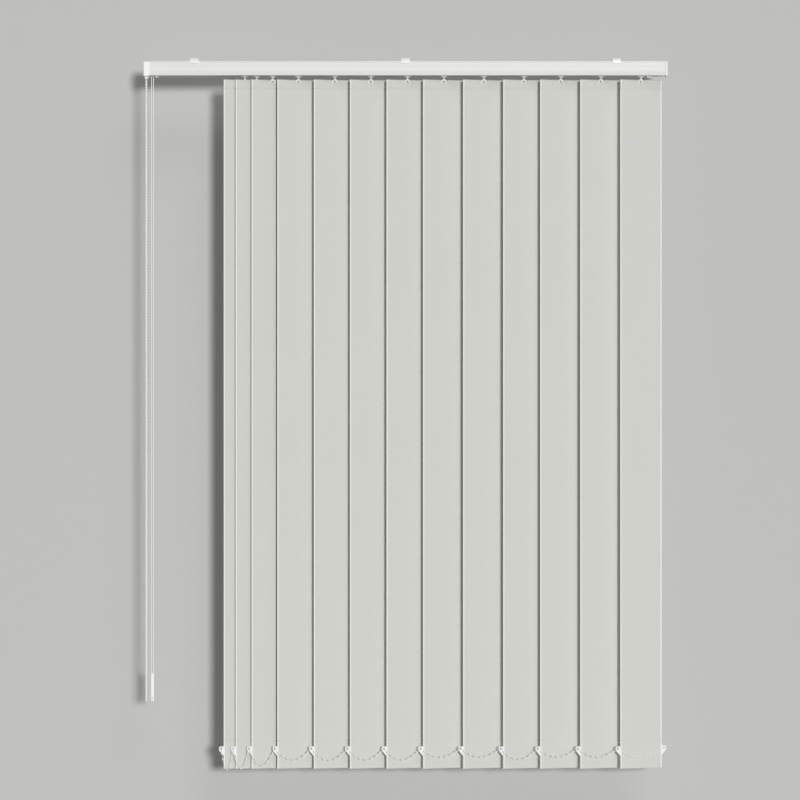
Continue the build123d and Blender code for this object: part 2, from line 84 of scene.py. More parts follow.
def mm(value: float) -> float:
    """Millimetres as metres."""
    return value / 1000.0


def numbered(stem: str, index: int) -> str:
    """Name of the piece of this kind on louvre number index, counted from zero."""
    return f"{stem}_{index + 1:02d}"


# Shader node groups


class GroupWriter:
    """Builds one shader node group with named sockets."""

    def __init__(self, name: str) -> None:
        """Start an empty group.

        Args:
            name: the group's name.
        """
        self.tree = bpy.data.node_groups.new(name, "ShaderNodeTree")
        self.nodes = self.tree.nodes
        self.links = self.tree.links
        self.inlet = self.nodes.new("NodeGroupInput")
        self.outlet = self.nodes.new("NodeGroupOutput")

    def take(self, name: str, kind: str, value: object) -> None:
        """Add an input socket with its default."""
        socket = self.tree.interface.new_socket(name, in_out="INPUT", socket_type=kind)
        socket.default_value = value

    def give(self, name: str, kind: str) -> None:
        """Add an output socket."""
        self.tree.interface.new_socket(name, in_out="OUTPUT", socket_type=kind)

    def math(self, operation: str, *values: object) -> bpy.types.NodeSocket:
        """Add a Math node.

        Args:
            operation: the node's operation.
            values: sockets or numbers for its inputs, in order.

        Returns:
            The node's output socket.
        """
        node = self.nodes.new("ShaderNodeMath")
        node.operation = operation
        for place, value in zip(node.inputs, values):
            self.feed(place, value)
        return node.outputs[0]

    def feed(self, place: bpy.types.NodeSocket, value: object) -> None:
        """Link a socket to an input, or set a number on it."""
        if isinstance(value, bpy.types.NodeSocket):
            self.links.new(value, place)
        else:
            place.default_value = value

    def noise(self, where: bpy.types.NodeSocket, scale: object, detail: float) -> bpy.types.NodeSocket:
        """Add a noise texture and return its factor."""
        node = self.nodes.new("ShaderNodeTexNoise")
        self.feed(node.inputs["Vector"], where)
        self.feed(node.inputs["Scale"], scale)
        node.inputs["Detail"].default_value = detail
        return node.outputs["Fac"]

    def scaled(
        self, where: bpy.types.NodeSocket, factors: tuple[float, float, float]
    ) -> bpy.types.NodeSocket:
        """Multiply a vector by three factors."""
        node = self.nodes.new("ShaderNodeVectorMath")
        node.operation = "MULTIPLY"
        self.links.new(where, node.inputs[0])
        node.inputs[1].default_value = factors
        return node.outputs[0]

    def spread(self, value: object, low: object, high: object) -> bpy.types.NodeSocket:
        """Map 0 to 1 onto low to high."""
        node = self.nodes.new("ShaderNodeMapRange")
        self.feed(node.inputs["Value"], value)
        self.feed(node.inputs["To Min"], low)
        self.feed(node.inputs["To Max"], high)
        return node.outputs["Result"]

    def shade(self, colour: bpy.types.NodeSocket, factor: object) -> bpy.types.NodeSocket:
        """Multiply a colour by a grey factor."""
        node = self.nodes.new("ShaderNodeVectorMath")
        node.operation = "SCALE"
        self.links.new(colour, node.inputs[0])
        self.feed(node.inputs["Scale"], factor)
        return node.outputs[0]


def slub_weave_group() -> bpy.types.NodeTree:
    """Plain weave with thick and thin weft threads, on a cloth UV map in metres.

    Returns:
        Group with inputs UV, Color, Slub and Thread, and outputs Color, Height and Roughness.
    """
    group = GroupWriter("slub_weave")
    group.take("UV", "NodeSocketVector", (0, 0, 0))
    group.take("Color", "NodeSocketColor", (0.6, 0.6, 0.6, 1))
    group.take("Slub", "NodeSocketFloat", 0.05)
    group.take("Thread", "NodeSocketFloat", 1400.0)
    group.give("Color", "NodeSocketColor")
    group.give("Height", "NodeSocketFloat")
    group.give("Roughness", "NodeSocketFloat")
    uv = group.inlet.outputs["UV"]
    parts = group.nodes.new("ShaderNodeSeparateXYZ")
    group.links.new(uv, parts.inputs[0])
    warp = group.math("SINE", group.math("MULTIPLY", parts.outputs[0], group.inlet.outputs["Thread"]))
    weft = group.math("SINE", group.math("MULTIPLY", parts.outputs[1], group.inlet.outputs["Thread"]))
    weave = group.math("MULTIPLY", warp, weft)
    slubs = group.noise(group.scaled(uv, (70.0, 900.0, 1.0)), 1.0, 2.0)
    bands = group.noise(group.scaled(uv, (9.0, 320.0, 1.0)), 1.0, 1.0)
    cloudy = group.noise(group.scaled(uv, (22.0, 8.0, 1.0)), 1.0, 2.0)
    grain = group.math("ADD", group.math("SUBTRACT", slubs, 0.5), group.math("SUBTRACT", bands, 0.5))
    soft = group.math("MULTIPLY", group.math("SUBTRACT", cloudy, 0.5), 0.5)
    tone = group.math("MULTIPLY", group.math("ADD", grain, soft), group.inlet.outputs["Slub"])
    threads = group.math("MULTIPLY", weave, 0.012)
    factor = group.math("ADD", group.math("ADD", tone, threads), 1.0)
    group.feed(group.outlet.inputs["Color"], group.shade(group.inlet.outputs["Color"], factor))
    height = group.math("ADD", group.math("MULTIPLY", weave, 0.4), slubs)
    group.feed(group.outlet.inputs["Height"], height)
    group.feed(group.outlet.inputs["Roughness"], group.spread(slubs, 0.82, 0.95))
    return group.tree


def moulded_group() -> bpy.types.NodeTree:
    """Fine grain and faint clouding of a moulded or coated surface, on Object coordinates.

    Returns:
        Group with inputs Place, Color, Grain, Smooth and Rough, and outputs Color, Height and Roughness.
    """
    group = GroupWriter("moulded_surface")
    group.take("Place", "NodeSocketVector", (0, 0, 0))
    group.take("Color", "NodeSocketColor", (0.8, 0.8, 0.8, 1))
    group.take("Grain", "NodeSocketFloat", 2500.0)
    group.take("Smooth", "NodeSocketFloat", 0.3)
    group.take("Rough", "NodeSocketFloat", 0.45)
    group.give("Color", "NodeSocketColor")
    group.give("Height", "NodeSocketFloat")
    group.give("Roughness", "NodeSocketFloat")
    place = group.inlet.outputs["Place"]
    grain = group.noise(place, group.inlet.outputs["Grain"], 2.0)
    clouds = group.noise(place, 35.0, 3.0)
    factor = group.spread(clouds, 0.965, 1.02)
    group.feed(group.outlet.inputs["Color"], group.shade(group.inlet.outputs["Color"], factor))
    group.feed(group.outlet.inputs["Height"], grain)
    rough = group.spread(clouds, group.inlet.outputs["Smooth"], group.inlet.outputs["Rough"])
    group.feed(group.outlet.inputs["Roughness"], rough)
    return group.tree


def edge_line_group() -> bpy.types.NodeTree:
    """Mask of a band that runs a stated distance either side of a level.

    Returns:
        Group with inputs Value, Level, Half Width and Blur, and output Mask.
    """
    group = GroupWriter("edge_line")
    group.take("Value", "NodeSocketFloat", 0.0)
    group.take("Level", "NodeSocketFloat", 0.0)
    group.take("Half Width", "NodeSocketFloat", 0.001)
    group.take("Blur", "NodeSocketFloat", 0.0005)
    group.give("Mask", "NodeSocketFloat")
    inlet = group.inlet.outputs
    gap = group.math("ABSOLUTE", group.math("SUBTRACT", inlet["Value"], inlet["Level"]))
    past = group.math("SUBTRACT", gap, inlet["Half Width"])
    share = group.math("DIVIDE", past, inlet["Blur"])
    fade = group.nodes.new("ShaderNodeMapRange")
    fade.interpolation_type = "SMOOTHSTEP"
    group.feed(fade.inputs["Value"], share)
    fade.inputs["To Min"].default_value = 1.0
    fade.inputs["To Max"].default_value = 0.0
    group.feed(group.outlet.inputs["Mask"], fade.outputs["Result"])
    return group.tree


@dataclass(frozen=True)
class Groups:
    """The node groups that the finishes share."""

    weave: bpy.types.NodeTree
    moulded: bpy.types.NodeTree
    line: bpy.types.NodeTree


class FinishWriter:
    """A material with one Principled shader and links into it."""

    def __init__(self, name: str) -> None:
        """Start a material.

        Args:
            name: the material's name.
        """
        self.material = bpy.data.materials.new(name)
        self.material.use_nodes = True
        self.nodes = self.material.node_tree.nodes
        self.links = self.material.node_tree.links
        self.shader = self.nodes["Principled BSDF"]

    def group(self, tree: bpy.types.NodeTree, **values: object) -> bpy.types.ShaderNode:
        """Place a shared group; an underscore in a value's name stands for a space."""
        node = self.nodes.new("ShaderNodeGroup")
        node.node_tree = tree
        for name, value in values.items():
            place = node.inputs[name.replace("_", " ")]
            if isinstance(value, bpy.types.NodeSocket):
                self.links.new(value, place)
            else:
                place.default_value = value
        return node

    def bump(self, height: bpy.types.NodeSocket, strength: float, distance: float) -> None:
        """Feed a height to the shader's normal through a Bump node."""
        node = self.nodes.new("ShaderNodeBump")
        node.inputs["Strength"].default_value = strength
        node.inputs["Distance"].default_value = distance
        self.links.new(height, node.inputs["Height"])
        self.links.new(node.outputs["Normal"], self.shader.inputs["Normal"])

    def coordinates(self, which: str) -> bpy.types.NodeSocket:
        """Object or UV coordinates."""
        return self.nodes.new("ShaderNodeTexCoord").outputs[which]

    def mix(self, mask: bpy.types.NodeSocket, first: object, second: object) -> bpy.types.NodeSocket:
        """Mix two colours by a mask."""
        node = self.nodes.new("ShaderNodeMix")
        node.data_type = "RGBA"
        self.links.new(mask, node.inputs["Factor"])
        for place, value in ((node.inputs[6], first), (node.inputs[7], second)):
            if isinstance(value, bpy.types.NodeSocket):
                self.links.new(value, place)
            else:
                place.default_value = value
        return node.outputs[2]


@dataclass(frozen=True)
class MouldedFinish:
    """A moulded, coated or drawn surface."""

    name: str
    colour: tuple[float, float, float]
    smooth: float = 0.30
    rough: float = 0.42
    grain: float = 2500.0
    bump: float = 0.05
    metallic: float = 0.0
    coat: float = 0.0
    subsurface: float = 0.0

    def build(self, groups: Groups) -> bpy.types.Material:
        """Write the material.

        Args:
            groups: the shared node groups.

        Returns:
            The finished material.
        """
        writer = FinishWriter(self.name)
        node = writer.group(
            groups.moulded,
            Place=writer.coordinates("Object"),
            Color=(*self.colour, 1.0),
            Grain=self.grain,
            Smooth=self.smooth,
            Rough=self.rough,
        )
        writer.links.new(node.outputs["Color"], writer.shader.inputs["Base Color"])
        writer.links.new(node.outputs["Roughness"], writer.shader.inputs["Roughness"])
        writer.bump(node.outputs["Height"], self.bump, mm(0.05))
        writer.shader.inputs["Metallic"].default_value = self.metallic
        writer.shader.inputs["Coat Weight"].default_value = self.coat
        writer.shader.inputs["Subsurface Weight"].default_value = self.subsurface
        writer.shader.inputs["Subsurface Scale"].default_value = mm(1.0)
        return writer.material


@dataclass(frozen=True)
class ClothFinish:
    """Stiffened plain weave with a painted highlight along both long edges and pressed weld lines."""

    name: str
    colour: tuple[float, float, float]
    # Colour of the painted highlight along both long edges of the louvre.
    edge_highlight_colour: tuple[float, float, float]
    weld_shade: float
    half_width: float
    welds: tuple[float, float]
    slub: float = 0.036
    thread: float = 9000.0
    highlight_width: float = mm(2.0)
    highlight_blur: float = mm(0.8)
    weld_width: float = mm(0.5)
    weld_blur: float = mm(0.6)

    def build(self, groups: Groups) -> bpy.types.Material:
        """Write the material.

        Args:
            groups: the shared node groups.

        Returns:
            The finished material.
        """
        writer = FinishWriter(self.name)
        uv = writer.coordinates("UV")
        weave = writer.group(
            groups.weave, UV=uv, Color=(*self.colour, 1.0), Slub=self.slub, Thread=self.thread
        )
        across = writer.nodes.new("ShaderNodeSeparateXYZ")
        writer.links.new(uv, across.inputs[0])
        away = writer.nodes.new("ShaderNodeMath")
        away.operation = "ABSOLUTE"
        writer.links.new(across.outputs[0], away.inputs[0])
        # A lighter band along both long edges: a painted highlight of the edges catching the light.
        edge = writer.group(
            groups.line, Value=away.outputs[0], Level=self.half_width,
            Half_Width=self.highlight_width, Blur=self.highlight_blur,
        )
        colour = writer.mix(edge.outputs["Mask"], weave.outputs["Color"], (*self.edge_highlight_colour, 1.0))
        place = writer.nodes.new("ShaderNodeSeparateXYZ")
        writer.links.new(writer.coordinates("Object"), place.inputs[0])
        darker = tuple(self.weld_shade * part for part in self.colour)
        for level in self.welds:
            weld = writer.group(
                groups.line, Value=place.outputs[2], Level=level,
                Half_Width=self.weld_width, Blur=self.weld_blur,
            )
            colour = writer.mix(weld.outputs["Mask"], colour, (*darker, 1.0))
        writer.links.new(colour, writer.shader.inputs["Base Color"])
        writer.links.new(weave.outputs["Roughness"], writer.shader.inputs["Roughness"])
        writer.shader.inputs["Specular IOR Level"].default_value = 0.25
        writer.shader.inputs["Sheen Weight"].default_value = 0.06
        writer.bump(weave.outputs["Height"], 0.25, mm(0.12))
        return writer.material


class Finishes:
    """Every finish of the blind, built once."""

    def __init__(self, louvre: "LouvreSizes") -> None:
        """Build the shared groups and all the materials.

        Args:
            louvre: sizes that the cloth's lines follow.
        """
        groups = Groups(slub_weave_group(), moulded_group(), edge_line_group())
        white = (0.83, 0.83, 0.815)
        recipes = {
            Slot.RAIL: MouldedFinish("rail_powder_coat", (0.71, 0.71, 0.70), 0.38, 0.50, 1800.0, 0.08),
            Slot.MOULDING: MouldedFinish("satin_moulding", white, 0.34, 0.46, coat=0.1),
            Slot.BRACKET: MouldedFinish("coated_clip", (0.77, 0.77, 0.76), 0.30, 0.40),
            Slot.ROD: MouldedFinish("drawn_alloy", (0.62, 0.62, 0.63), 0.28, 0.42, 900.0, 0.1, metallic=1.0),
            Slot.CORD: MouldedFinish("braided_cord", (0.80, 0.80, 0.775), 0.75, 0.9, 1200.0, 0.5),
            Slot.BEADS: MouldedFinish("cast_beads", (0.85, 0.85, 0.835), 0.22, 0.34, coat=0.2),
            Slot.TRUCK: MouldedFinish("natural_moulding", (0.76, 0.76, 0.74), 0.40, 0.52),
            Slot.FITTING: MouldedFinish("clear_white_moulding", (0.87, 0.87, 0.86), 0.24, 0.36, coat=0.15),
            Slot.SPACER: MouldedFinish("spacer_beads", (0.86, 0.86, 0.85), 0.24, 0.36, coat=0.15),
        }
        self.materials = {slot: recipe.build(groups) for slot, recipe in recipes.items()}
        self.materials[Slot.CLOTH] = ClothFinish(
            "stiffened_weave",
            (0.612, 0.620, 0.586),
            # Colour of the painted highlight along the louvre edges.
            (0.80, 0.805, 0.775),
            0.965,
            louvre.width / 2,
            (louvre.weld_top, louvre.weld_bottom),
        ).build(groups)

    def dress(self, piece: bpy.types.Object, slot: Slot) -> None:
        """Give a new piece the finish of its record slot."""
        piece.data.materials.clear()
        piece.data.materials.append(self.materials[slot])

    def repaint(self, node: str, slot: Slot) -> None:
        """Give a CAD node its finish."""
        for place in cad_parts[node].material_slots:
            place.material = self.materials[slot]


# Sizes


@dataclass(frozen=True)
class LouvreSizes:
    """One cloth louvre and its fittings."""

    width: float = mm(89.0)
    cloth: float = mm(0.5)
    top: float = mm(-43.0)
    bottom: float = mm(-1419.6)
    top_pocket: float = mm(18.0)
    bottom_pocket: float = mm(56.6)
    top_half: float = mm(0.75)
    bottom_half: float = mm(0.9)
    flare: float = mm(5.0)
    tail: float = mm(3.0)
    tail_gap: float = 1.04
    notch_half: float = mm(7.4)
    notch_depth: float = mm(7.0)
    slot_half: float = mm(2.0)
    slot_depth: float = mm(4.0)
    tilt: float = math.radians(19.3)
    ear_hole_at: float = mm(49.9)
    ear_hole_z: float = mm(-1379.0)

    @property
    def weld_top(self) -> float:
        """Level of the upper weld."""
        return self.top - self.top_pocket

    @property
    def weld_bottom(self) -> float:
        """Level of the lower weld."""
        return self.bottom + self.bottom_pocket

    @property
    def across(self) -> Vector:
        """Unit vector along the louvre's width, from its front edge to its rear edge."""
        return Vector((math.cos(self.tilt), math.sin(self.tilt), 0.0))

    @property
    def facing(self) -> Vector:
        """Unit vector out of the louvre's face, towards the room."""
        return Vector((math.sin(self.tilt), -math.cos(self.tilt), 0.0))


def middle_of(node: str) -> Vector:
    """Middle of a CAD node's box at rest."""
    low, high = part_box(node)
    return (Vector(low) + Vector(high)) / 2


def finished(name: str, shape: bmesh.types.BMesh, smooth: bool = True) -> bpy.types.Object:
    """Turn a bmesh into a piece of the scene, standing at the origin.

    Args:
        name: the piece's name.
        shape: its shape, freed afterwards.
        smooth: whether its faces are shaded smooth.

    Returns:
        The new object.
    """
    mesh = bpy.data.meshes.new(name)
    shape.to_mesh(mesh)
    shape.free()
    for face in mesh.polygons:
        face.use_smooth = smooth
    piece = bpy.data.objects.new(name, mesh)
    bpy.context.scene.collection.objects.link(piece)
    return piece


class Louvre:
    """One cloth strip, folded and welded into a pocket at each end."""

    columns = 10
    main_steps = 26
    turn_steps = 6
    bow_limit = 0.25
    first_seed = 100

    def __init__(self, index: int, sizes: LouvreSizes, finishes: Finishes) -> None:
        """Place a louvre on its truck.

        Args:
            index: its number from the lead truck, from zero.
            sizes: the louvre's sizes.
            finishes: all the finishes.
        """
        self.index = index
        self.sizes = sizes
        self.finishes = finishes
        self.axis_x = middle_of(numbered("louvre", index)).x

    def profile(self) -> list[tuple[float, float]]:
        """Middle line of the cloth: distance towards the room and height, tail to tail.

        Returns:
            Points from the lower weld's tail, round both pockets, to the upper weld's tail.
        """
        s = self.sizes
        pressed = -s.tail_gap * s.cloth
        points = [(pressed, s.weld_bottom + s.tail), (pressed, s.weld_bottom)]
        points.append((-s.bottom_half, s.weld_bottom - s.flare))
        points += self.fold(s.bottom_half, s.bottom + s.cloth / 2, downwards=True)
        points += [(s.bottom_half, s.weld_bottom - s.flare), (0.0, s.weld_bottom)]
        run = s.weld_top - s.weld_bottom
        points += [(0.0, s.weld_bottom + run * k / self.main_steps) for k in range(1, self.main_steps)]
        points += [(0.0, s.weld_top), (s.top_half, s.weld_top + s.flare)]
        points += self.fold(s.top_half, s.top - s.cloth / 2, downwards=False)
        points += [(-s.top_half, s.weld_top + s.flare), (pressed, s.weld_top)]
        points.append((pressed, s.weld_top - s.tail))
        return points

    def fold(self, half: float, end: float, downwards: bool) -> list[tuple[float, float]]:
        """Half turn at a pocket's end: back to front at the bottom, front to back at the top."""
        sign = -1.0 if downwards else 1.0
        points = []
        for k in range(self.turn_steps + 1):
            turn = math.pi * k / self.turn_steps
            side = -math.cos(turn) if downwards else math.cos(turn)
            points.append((half * side, end - sign * half + sign * half * math.sin(turn)))
        return points

    def build(self) -> bpy.types.Object:
        """Make the strip, cut its notch, and hang it on its body.

        Returns:
            The finished louvre.
        """
        s = self.sizes
        profile = self.profile()
        shape = bmesh.new()
        layer = shape.loops.layers.uv.new("cloth")
        bmesh.ops.create_grid(shape, x_segments=self.columns, y_segments=len(profile) - 1, size=1.0)
        travelled = [0.0]
        for (c0, z0), (c1, z1) in zip(profile, profile[1:]):
            travelled.append(travelled[-1] + math.hypot(c1 - c0, z1 - z0))
        rng = random.Random(self.first_seed + self.index)
        bow = rng.uniform(-self.bow_limit, self.bow_limit)
        phase = rng.uniform(0.0, 6.28)
        places = {}
        for vert in shape.verts:
            row = round((vert.co.y + 1.0) / 2.0 * (len(profile) - 1))
            along = vert.co.x * s.width / 2
            forward, height = profile[row]
            share = (height - s.bottom) / (s.top - s.bottom)
            sway = mm(bow) * math.sin(math.pi * share) * math.sin(2 * math.pi * share + phase)
            places[vert] = (along, travelled[row])
            spot = s.across * along + s.facing * (forward + sway)
            vert.co = Vector((self.axis_x + spot.x, spot.y, height))
        for face in shape.faces:
            for loop in face.loops:
                loop[layer].uv = places[loop.vert]
        self.cut_notch(shape)
        area = sum(face.calc_area() for face in shape.faces)
        piece = finished(numbered("louvre_cloth", self.index), shape, smooth=False)
        thick = piece.modifiers.new("thickness", "SOLIDIFY")
        thick.thickness = s.cloth
        thick.offset = 0.0
        self.finishes.dress(piece, Slot.CLOTH)
        node = numbered("louvre", self.index)
        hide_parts(node)
        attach(piece, node)
        return piece

    def cut_notch(self, shape: bmesh.types.BMesh) -> None:
        """Cut the eye's notch out of the front layer and the hook's slot out of the rear one."""
        s = self.sizes
        origin = Vector((self.axis_x, 0.0, 0.0))
        for half, depth in ((s.notch_half, s.notch_depth), (s.slot_half, s.slot_depth)):
            for point, normal in (
                (origin - s.across * half, s.across),
                (origin + s.across * half, s.across),
                (Vector((0, 0, s.top - depth)), Vector((0, 0, 1))),
            ):
                everything = shape.verts[:] + shape.edges[:] + shape.faces[:]
                bmesh.ops.bisect_plane(shape, geom=everything, plane_co=point, plane_no=normal)
        doomed = []
        for face in shape.faces:
            centre = face.calc_center_median() - origin
            aside = abs(centre.dot(s.across))
            forward = centre.dot(s.facing)
            high = centre.z > s.top - s.notch_depth
            in_notch = high and aside < s.notch_half and forward > -s.top_half * 0.8
            in_slot = aside < s.slot_half and centre.z > s.top - s.slot_depth
            if in_notch or in_slot:
                doomed.append(face)
        bmesh.ops.delete(shape, geom=doomed, context="FACES")


# Plates and turned parts

Loop = list[tuple[float, float]]


def signed_area(loop: Loop) -> float:
    """Area of a closed loop, positive when it runs anticlockwise."""
    return sum(a[0] * b[1] - b[0] * a[1] for a, b in zip(loop, loop[1:] + loop[:1])) / 2


def rounded(corners: list[tuple[float, float, float]], steps: int = 4) -> Loop:
    """Closed outline through corners, each with its own rounding.

    Args:
        corners: two coordinates and the rounding's reach along both sides, for each corner.
        steps: number of steps in each rounding.

    Returns:
        The outline, anticlockwise.
    """
    loop: Loop = []
    for k, (x, y, reach) in enumerate(corners):
        here = Vector((x, y))
        if reach <= 0.0:
            loop.append((x, y))
            continue
        before = Vector(corners[k - 1][:2])
        after = Vector(corners[(k + 1) % len(corners)][:2])
        start = here + (before - here).normalized() * reach
        end = here + (after - here).normalized() * reach
        for j in range(steps + 1):
            t = j / steps
            point = start * (1 - t) ** 2 + here * 2 * t * (1 - t) + end * t**2
            loop.append((point.x, point.y))
    return loop if signed_area(loop) > 0 else loop[::-1]


def ring(centre: tuple[float, float], radius: float, start: float, end: float, steps: int) -> Loop:
    """Points on an arc, both ends included, with angles in degrees."""
    angles = [math.radians(start + (end - start) * k / steps) for k in range(steps + 1)]
    return [(centre[0] + radius * math.cos(a), centre[1] + radius * math.sin(a)) for a in angles]


def hole(centre: tuple[float, float], radius: float, steps: int = 24) -> Loop:
    """Round hole, clockwise, so that its left side is in the material."""
    return ring(centre, radius, 360.0, 360.0 / steps, steps - 1)


def inset(loop: Loop, depth: float) -> Loop:
    """Loop moved to its left, into the material."""
    moved: Loop = []
    for k, here in enumerate(loop):
        before, after = loop[k - 1], loop[(k + 1) % len(loop)]
        first = Vector((here[0] - before[0], here[1] - before[1])).normalized()
        second = Vector((after[0] - here[0], after[1] - here[1])).normalized()
        side = Vector((-first.y, first.x))
        middle = (side + Vector((-second.y, second.x))).normalized()
        reach = depth / max(0.4, middle.dot(side))
        moved.append((here[0] + middle.x * reach, here[1] + middle.y * reach))
    return moved


def add_plate(
    shape: bmesh.types.BMesh, loops: list[Loop], place: Callable[[float, float, float], Vector],
    thickness: float, bevel: float,
) -> None:
    """Add a plate with holes and softened rims.

    Args:
        shape: the bmesh to add to.
        loops: the outline, anticlockwise, then the holes, clockwise.
        place: gives the point for a loop's two coordinates and a distance through the plate.
        thickness: the plate's thickness.
        bevel: width of the softened rim.
    """
    half = thickness / 2
    rim = ((1.0, half), (0.29, half - 0.29 * bevel), (0.0, half - bevel))
    levels = list(rim) + [(share, -height) for share, height in reversed(rim)]
    caps: tuple[list, list] = ([], [])
    for loop in loops:
        rings = []
        for share, height in levels:
            points = inset(loop, share * bevel) if share else loop
            rings.append([shape.verts.new(place(u, v, height)) for u, v in points])
        for upper, lower in zip(rings, rings[1:]):
            for k in range(len(loop)):
                shape.faces.new((upper[k - 1], upper[k], lower[k], lower[k - 1]))
        for cap, row in zip(caps, (rings[0], rings[-1])):
            cap += [shape.edges.get((row[k - 1], row[k])) for k in range(len(row))]
    for cap in caps:
        bmesh.ops.triangle_fill(shape, use_beauty=True, use_dissolve=True, edges=cap)


def add_turned(shape: bmesh.types.BMesh, centre: Vector, profile: Loop, sides: int) -> None:
    """Add a part turned about an upright axis.

    Args:
        shape: the bmesh to add to.
        centre: a point of the axis.
        profile: radius and height of each level, from one end to the other.
        sides: number of sides.
    """
    rings = []
    for radius, height in profile:
        row = [
            shape.verts.new(centre + Vector((radius * math.cos(a), radius * math.sin(a), height)))
            for a in (2 * math.pi * k / sides for k in range(sides))
        ]
        rings.append(row)
    for upper, lower in zip(rings, rings[1:]):
        for k in range(sides):
            shape.faces.new((upper[k - 1], upper[k], lower[k], lower[k - 1]))
    shape.faces.new(rings[0])
    shape.faces.new(rings[-1])


@dataclass(frozen=True)
class FittingSizes:
    """Swivel hook, hanger and bottom weight of one louvre."""

    stem_radius: float = mm(2.6)
    stem_top: float = mm(-27.6)
    stem_bottom: float = mm(-38.6)
    stem_head: float = mm(4.2)
    hook_width: float = mm(2.6)
    hook_sheet: float = mm(1.6)
    hook_clear: float = mm(0.7)
    hook_bar: float = mm(2.0)
    eye_z: float = mm(-47.6)
    eye_radius: float = mm(6.4)
    eye_hole: float = mm(4.2)
    hanger_half: float = mm(42.0)
    hanger_top: float = mm(-49.8)
    hanger_bottom: float = mm(-54.8)
    hanger_sheet: float = mm(0.8)
    weight_half: float = mm(43.0)
    weight_bottom: float = mm(-1418.2)
    weight_sheet: float = mm(1.2)
    louvre_half: float = mm(44.5)
    ear_top: float = mm(-1374.6)
    ear_reach: float = mm(9.8)
    ear_square: float = mm(8.0)
    ear_height: float = mm(19.4)
    ear_hole: float = mm(2.2)
    bevel: float = mm(0.28)


class Fittings:
    """The three rigid mouldings that turn with one louvre."""

    def __init__(self, index: int, louvre: LouvreSizes, finishes: Finishes) -> None:
        """Place the fittings on their truck.

        Args:
            index: number of their louvre, from zero.
            louvre: the louvre's sizes.
            finishes: all the finishes.
        """
        self.index = index
        self.louvre = louvre
        self.sizes = FittingSizes()
        self.finishes = finishes
        self.axis = Vector((middle_of(numbered("louvre", index)).x, 0.0, 0.0))

    def on_face(self, along: float, height: float, forward: float) -> Vector:
        """Point by its place across the louvre, its height and its distance towards the room."""
        return self.axis + self.louvre.across * along + self.louvre.facing * forward + Vector((0, 0, height))

    def on_side(self, forward: float, height: float, along: float) -> Vector:
        """The same point, named for an outline that is seen from the louvre's edge."""
        return self.on_face(along, height, forward)

    def hook_outline(self) -> Loop:
        """Outline of the hook, seen from the louvre's edge."""
        s = self.sizes
        bar_top = s.eye_z + s.eye_hole - mm(0.5)
        bar_bottom = bar_top - s.hook_bar
        outer = s.hook_clear + s.hook_sheet
        return rounded([
            (s.stem_radius - mm(0.6), s.stem_bottom + mm(0.5), 0.0),
            (s.stem_radius - mm(0.6), s.stem_bottom - mm(0.6), mm(0.4)),
            (-s.hook_clear, s.stem_bottom - mm(2.4), mm(0.8)),
            (-s.hook_clear, bar_top, mm(0.3)),
            (s.hook_clear, bar_top, mm(0.3)),
            (s.hook_clear, bar_top + s.hook_bar, mm(0.4)),
            (outer, bar_top + s.hook_bar, mm(0.6)),
            (outer, bar_bottom, mm(1.1)),
            (-outer, bar_bottom, mm(1.1)),
            (-outer, s.stem_bottom + mm(0.5), 0.0),
        ], steps=3)

    def hanger_outline(self) -> Loop:
        """Outline of the hanger plate with the eye that stands on it."""
        s = self.sizes
        drop = s.hanger_top - s.eye_z
        start = math.degrees(math.asin(drop / s.eye_radius))
        corner = mm(1.5)
        foot = rounded([
            (-s.hanger_half, s.hanger_bottom, corner),
            (s.hanger_half, s.hanger_bottom, corner),
            (s.hanger_half, s.hanger_top, corner),
            (-s.hanger_half, s.hanger_top, corner),
        ])
        left = [point for point in foot if point[0] < 0]
        right = [point for point in foot if point[0] > 0]
        left.sort(key=lambda point: -point[1])
        right.sort(key=lambda point: point[1])
        eye = ring((0.0, s.eye_z), s.eye_radius, start, 180.0 - start, 26)
        return left + right + eye

    def weight_outline(self) -> Loop:
        """Outline of the bottom weight with an ear at each end."""
        s = self.sizes
        tip = s.louvre_half + s.ear_reach
        square = s.ear_top - s.ear_square
        shoulder = s.ear_top - s.ear_height
        right = [
            (s.weight_half, s.weight_bottom, mm(2.0)),
            (s.weight_half, shoulder, 0.0),
            (s.louvre_half, shoulder, mm(0.6)),
            (tip, square, mm(2.0)),
            (tip, s.ear_top, mm(3.0)),
        ]
        left = [(-x, z, reach) for x, z, reach in reversed(right)]
        return rounded(right + left, steps=5)

    def build(self) -> bpy.types.Object:
        """Make the fittings and hang them on their body.

        Returns:
            The finished piece.
        """
        s = self.sizes
        shape = bmesh.new()
        stem = [
            (s.stem_head, s.stem_top),
            (s.stem_head, s.stem_top - mm(2.2)),
            (s.stem_radius, s.stem_top - mm(2.2)),
            (s.stem_radius, s.stem_bottom + mm(0.3)),
            (s.stem_radius - mm(0.3), s.stem_bottom),
        ]
        add_turned(shape, self.axis, stem, 20)
        add_plate(shape, [self.hook_outline()], self.on_side, s.hook_width, s.bevel)
        eye = hole((0.0, s.eye_z), s.eye_hole)
        add_plate(shape, [self.hanger_outline(), eye], self.on_face, s.hanger_sheet, mm(0.2))
        at, z = self.louvre.ear_hole_at, self.louvre.ear_hole_z
        holes = [hole((side * at, z), s.ear_hole, 20) for side in (-1, 1)]
        add_plate(shape, [self.weight_outline()] + holes, self.on_face, s.weight_sheet, s.bevel)
        bmesh.ops.recalc_face_normals(shape, faces=shape.faces)
        piece = finished(numbered("louvre_mouldings", self.index), shape, smooth=False)
        self.finishes.dress(piece, Slot.FITTING)
        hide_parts(numbered("louvre_fittings", self.index))
        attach(piece, numbered("louvre", self.index))
        return piece


# Spacer chains


